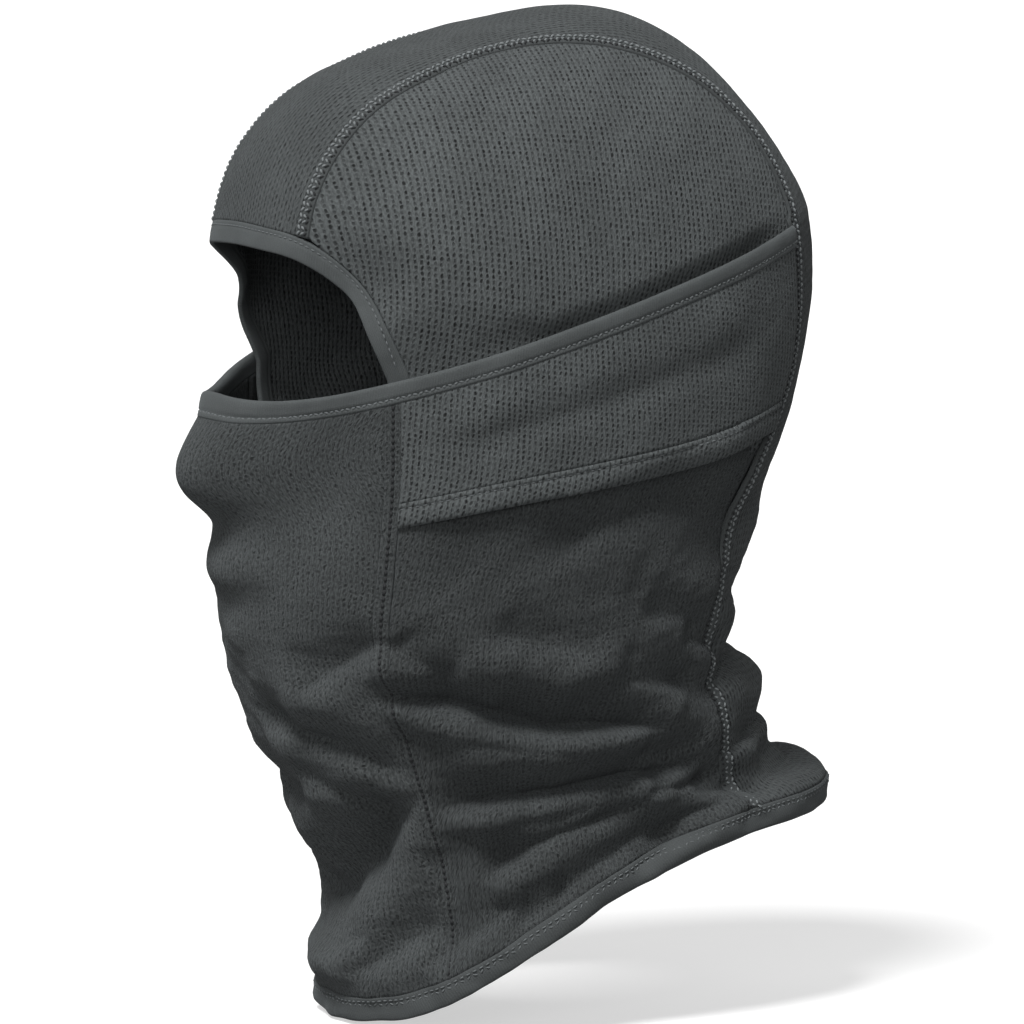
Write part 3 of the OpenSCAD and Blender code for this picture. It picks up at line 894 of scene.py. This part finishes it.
def make_crown_seams():
    ut0 = crown_seam_grid()
    n = ut0.shape[1]
    bump = np.array([-0.35, 0.95, 0.6, 0.1, 0.5, 0.75, -0.35])[None, :] * np.ones((ut0.shape[0], 1))
    loop_rows = ((0.80, 0.55, light_thread), (0.55, 0.9, light_thread), (0.22, 0.9, dark_thread))
    for side, sign in SIDES:
        ut = sided(ut0, sign)
        off = under_mask(ut[..., 0], ut[..., 1]) * np.linspace(1, 0, n)[None, :] * 0.4
        obj, _ = cloth("crown_seam_band_" + side, ut, seam_knit, off=off + bump / 2, thick=KNIT + bump)
        rows = []
        for share, slant, mat in loop_rows:
            k = share * (n - 1)
            line = mix(ut[:, int(k)], ut[:, int(k) + 1], k - int(k))
            lift_off = np.interp(k, np.arange(n), bump[0]) + KNIT / 2 + 0.02
            rows.append(stitches("loops", line, off[:, int(k)] + lift_off, mat, pitch=1.9, length=1.7,
                                 wide=0.8, high=0.5, slant=slant))
        loops = join("crown_seam_threads_" + side, rows)
        settle(obj, on_hood, "trim", "crown_seam_" + side)
        settle(loops, on_hood, "thread")


def make_binding():
    shares = np.array([0, 0.04, 0.12, 0.22, 0.30, 0.45, 0.65, 0.82, 0.93, 1.0])
    ut = grid([binding_at(f) for f in shares])
    off = under_mask(ut[..., 0], ut[..., 1])
    raised = np.array([0, 0.45, 0.5, 0.12, 0.55, 0.6, 0.55, 0.5, 0.3, 0])[:, None]
    obj, _ = cloth("face_binding_band", ut, trim_cloth, off=off, thick=KNIT + 0.2 + 1.2 * raised)
    settle(obj, on_hood, "trim", "face_binding")
    line = binding_at(0.22)
    line = line[line[:, 1] < CORNER[1] - 1]
    rows = stitches("binding_threads", line, KNIT / 2 + 0.2, thread, pitch=2.3, length=1.5, wide=0.5)
    settle(rows, on_hood, "thread", "binding_stitching")


def make_neck():
    ut0 = neck_grid(NECK_TOP, lambda t: SIDE_U, seam_fore, count(112))
    for side, sign in SIDES:
        ut = sided(ut0, sign)
        obj, cut = cloth("neck_side_cloth_" + side, ut, neck_knit, off=neck_depth(ut[..., 0], ut[..., 1]))
        settle(obj, on_neck, "knit", "neck_side_" + side)


def make_front():
    edge = SIDE_U - SEAM_DEG
    obj, cut = cloth("front_cloth", front_grid(-edge, edge, count(150)), front_knit)
    settle(obj, on_neck, "knit", "mask_front", "throat_panel")
    ut0 = front_grid(edge, SIDE_U, 7)
    bump = np.array([0, 0, -0.1, -0.55, -0.1, 0, 0])[None, :] * np.ones((ut0.shape[0], 1))
    for side, sign in SIDES:
        ut = sided(ut0, sign)
        seam, _ = cloth("front_seam_band_" + side, ut, front_knit, off=bump * 0.8, thick=KNIT)
        settle(seam, on_neck, "trim", "mask_seam_" + side, "throat_seam_" + side)
        rows = stitches("front_seam_threads_" + side, ut[:, 3], KNIT / 2 - 0.25, dark_thread, pitch=2.1,
                        length=1.7, wide=1.4, high=0.45)
        settle(rows, on_neck, "thread")


def make_yokes():
    for side, sign in SIDES:
        ut = sided(grid([yoke_at(f) for f in np.linspace(0, 1, count(36))]), sign)
        obj, cut = cloth("yoke_cloth_" + side, ut, yoke_knit, off=lift(ut[..., 0]))
        settle(obj, on_yoke, "knit", "yoke_" + side)
        shares = np.array([0, 0.05, 0.13, 0.2, 0.28, 0.45, 0.65, 0.85, 0.95, 1.0])
        ut = sided(grid([yoke_at(1, f) for f in shares]), sign)
        raised = np.array([0, 0.4, 0.5, 0.15, 0.5, 0.7, 0.75, 0.7, 0.4, 0])[:, None]
        hem, _ = cloth("yoke_hem_band_" + side, ut, yoke_knit, off=lift(ut[..., 0]) + raised * 0.5,
                          thick=KNIT + 1.7 * raised)
        settle(hem, on_yoke, "trim", "yoke_hem_" + side)
        line = sided(yoke_at(1, 0.2), sign)
        rows = stitches("yoke_threads_" + side, line, lift(line[:, 0]) + KNIT / 2 + 0.25, thread,
                        pitch=2.5, length=1.7, wide=0.5)
        settle(rows, on_yoke, "thread", "yoke_stitching_" + side)


def make_mask_hem():
    shares = np.array([0, 0.04, 0.12, 0.3, 0.5, 0.66, 0.74, 0.82, 0.92, 1.0])
    ut = grid([mask_hem_at(f) for f in shares])
    raised = np.array([0, 0.6, 0.95, 1.0, 0.9, 0.7, 0.15, 0.5, 0.5, 0])[:, None]
    obj, _ = cloth("mask_hem_band", ut, trim_cloth, off=lift(ut[..., 0]) + 0.35 * raised,
                      thick=KNIT + 1.1 * raised)
    settle(obj, on_yoke, "trim", "mask_top_hem")
    line = mask_hem_at(0.74)
    rows = stitches("mask_hem_threads", line, lift(line[:, 0]) + KNIT / 2 + 0.3, thread, pitch=1.9,
                    length=1.6, wide=0.75, high=0.4, slant=0.35)
    settle(rows, on_yoke, "thread", "mask_hem_stitching")


def make_neck_hem():
    u = np.linspace(0, 360, count(470), endpoint=False)
    edge = hem_t(from_face(u))
    shares = np.array([0, 0.05, 0.15, 0.24, 0.33, 0.5, 0.7, 0.88, 0.96, 1.0])
    ut = grid([np.stack([u, edge - HEM_W * (1 - f)], -1) for f in shares])
    raised = np.array([0, 0.4, 0.5, 0.2, 0.5, 0.7, 0.8, 0.75, 0.4, 0])[:, None]
    obj, _ = cloth("neck_hem_band", ut, seam_knit, off=0.2 * raised, thick=KNIT + 1.2 * raised, ring=True)
    settle(obj, on_hood, "trim", "neck_hem")
    rows = []
    for f, s in ((0.14, 0.0), (0.30, 0.5)):
        line = np.stack([u, edge - HEM_W * (1 - f)], -1)
        rows.append(stitches("row", line, KNIT / 2 + 0.3, thread, pitch=2.4, length=1.6, wide=0.5, slant=s))
    settle(join("neck_hem_threads", rows), on_hood, "thread", "neck_hem_stitching")


make_hood_sides()
make_centre()
make_crown_seams()
make_binding()
make_neck()
make_front()
make_yokes()
make_mask_hem()
make_neck_hem()


# The stage: a wide pale floor, soft light and the camera.
CAMERA_AZ, CAMERA_EL = 65 * RAD, 6 * RAD
FACING = np.array([math.sin(CAMERA_AZ) * math.cos(CAMERA_EL), -math.cos(CAMERA_AZ) * math.cos(CAMERA_EL),
                   math.sin(CAMERA_EL)])
RIGHT = np.array([math.cos(CAMERA_AZ), math.sin(CAMERA_AZ), 0.0])
UP = np.cross(FACING, RIGHT)
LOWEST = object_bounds()[0][2]
AIM = RIGHT * -0.0016 + UP * -0.0684    # the point at the middle of the picture, in m
FRAME_WIDTH = 0.3303                    # what the picture takes in at that point
DISTANCE = 3.2
SENSOR = 36.0


def make_floor():
    z = float(LOWEST) - 0.001
    mesh = bpy.data.meshes.new("floor")
    mesh.from_pydata([(-40, -40, z), (40, -40, z), (40, 40, z), (-40, 40, z)], [], [(0, 1, 2, 3)])
    pale = bpy.data.materials.new("pale_floor")
    pale.use_nodes = True
    surface = pale.node_tree.nodes["Principled BSDF"]
    surface.inputs["Base Color"].default_value = (0.5, 0.5, 0.5, 1)
    surface.inputs["Roughness"].default_value = 0.9
    surface.inputs["Emission Color"].default_value = (1, 1, 1, 1)
    surface.inputs["Emission Strength"].default_value = 0.55
    mesh.materials.append(pale)
    floor = bpy.data.objects.new("floor", mesh)
    bpy.context.scene.collection.objects.link(floor)
    floor.visible_diffuse = False
    floor.visible_glossy = False


def aim(obj, place, target):
    obj.location = place
    obj.rotation_euler = (Vector(target) - Vector(place)).to_track_quat("-Z", "Y").to_euler()


def sun(name, right, up, toward, angle, power):
    """A soft light from a direction given from the camera's side: to its right, up, and towards it."""
    data = bpy.data.lights.new(name, "SUN")
    data.angle = angle * RAD
    data.energy = power
    obj = bpy.data.objects.new(name, data)
    bpy.context.scene.collection.objects.link(obj)
    aim(obj, tuple(AIM + RIGHT * right + np.array([0, 0, up]) + FACING * toward), tuple(AIM))


def make_camera():
    data = bpy.data.cameras.new("camera")
    data.sensor_width = SENSOR
    data.lens = SENSOR * DISTANCE / FRAME_WIDTH
    data.clip_end = 100
    camera = bpy.data.objects.new("camera", data)
    bpy.context.scene.collection.objects.link(camera)
    aim(camera, tuple(AIM + FACING * DISTANCE), tuple(AIM))
    bpy.context.scene.camera = camera


def make_world():
    world = bpy.data.worlds.new("studio")
    world.use_nodes = True
    back = world.node_tree.nodes["Background"]
    back.inputs["Color"].default_value = (1, 1, 1, 1)
    back.inputs["Strength"].default_value = 0.30
    bpy.context.scene.world = world


make_floor()
sun("key", right=-0.5, up=1.6, toward=1.0, angle=16, power=3.9)
sun("fill", right=-0.25, up=0.2, toward=1.6, angle=30, power=1.15)
sun("back", right=0.4, up=1.2, toward=-1.4, angle=30, power=0.15)
make_camera()
make_world()
bpy.context.scene.view_settings.view_transform = "Standard"
